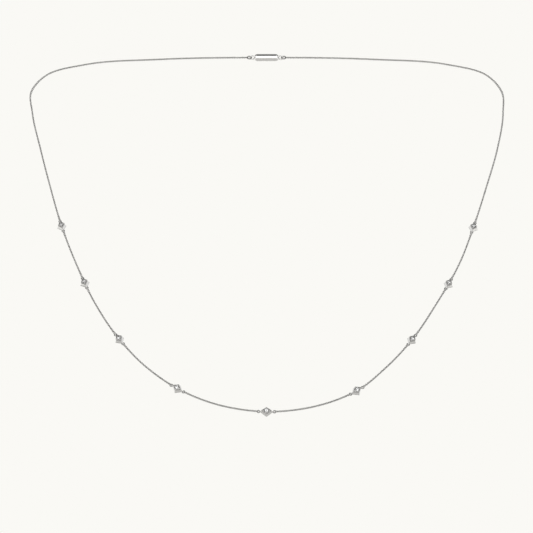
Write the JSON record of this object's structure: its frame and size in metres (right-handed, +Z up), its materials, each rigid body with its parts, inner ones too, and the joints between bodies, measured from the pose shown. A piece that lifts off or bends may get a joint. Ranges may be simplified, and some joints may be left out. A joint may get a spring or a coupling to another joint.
{
  "type": "station necklace",
  "caption": "Fine cable-chain necklace worn as a closed loop, with small lozenge settings spaced along its front, each holding a round stone.",
  "frame": {"origin": "the place under the clasp where the nape carries the necklace", "axes": "+X towards the wearer's left, -Y towards the front station, +Z up"},
  "size_m": [0.1298, 0.1164, 0.0964],
  "materials": {
    "setting_silver": "polished white metal, cast and rhodium bright, with soft wear on the edges",
    "ring_silver": "polished white metal wire",
    "chain_silver": "polished white metal cable links",
    "clasp_silver": "polished white metal barrel",
    "clear_stone": "clear faceted round brilliant"
  },
  "bodies": {
    "root": {"clasp": "clasp_silver", "end_ring_right": "ring_silver", "end_ring_left": "ring_silver", "setting_1": "setting_silver", "setting_2": "setting_silver", "setting_3": "setting_silver", "setting_4": "setting_silver", "setting_5": "setting_silver", "setting_6": "setting_silver", "setting_7": "setting_silver", "setting_8": "setting_silver", "setting_9": "setting_silver", "stone_1": "clear_stone", "stone_2": "clear_stone", "stone_3": "clear_stone", "stone_4": "clear_stone", "stone_5": "clear_stone", "stone_6": "clear_stone", "stone_7": "clear_stone", "stone_8": "clear_stone", "stone_9": "clear_stone", "jump_ring_1a": "ring_silver", "jump_ring_1b": "ring_silver", "jump_ring_2a": "ring_silver", "jump_ring_2b": "ring_silver", "jump_ring_3a": "ring_silver", "jump_ring_3b": "ring_silver", "jump_ring_4a": "ring_silver", "jump_ring_4b": "ring_silver", "jump_ring_5a": "ring_silver", "jump_ring_5b": "ring_silver", "jump_ring_6a": "ring_silver", "jump_ring_6b": "ring_silver", "jump_ring_7a": "ring_silver", "jump_ring_7b": "ring_silver", "jump_ring_8a": "ring_silver", "jump_ring_8b": "ring_silver", "jump_ring_9a": "ring_silver", "jump_ring_9b": "ring_silver", "chain_1": "chain_silver", "chain_2": "chain_silver", "chain_3": "chain_silver", "chain_4": "chain_silver", "chain_5": "chain_silver", "chain_6": "chain_silver", "chain_7": "chain_silver", "chain_8": "chain_silver", "chain_9": "chain_silver", "chain_10": "chain_silver"}
  },
  "joints": []
}
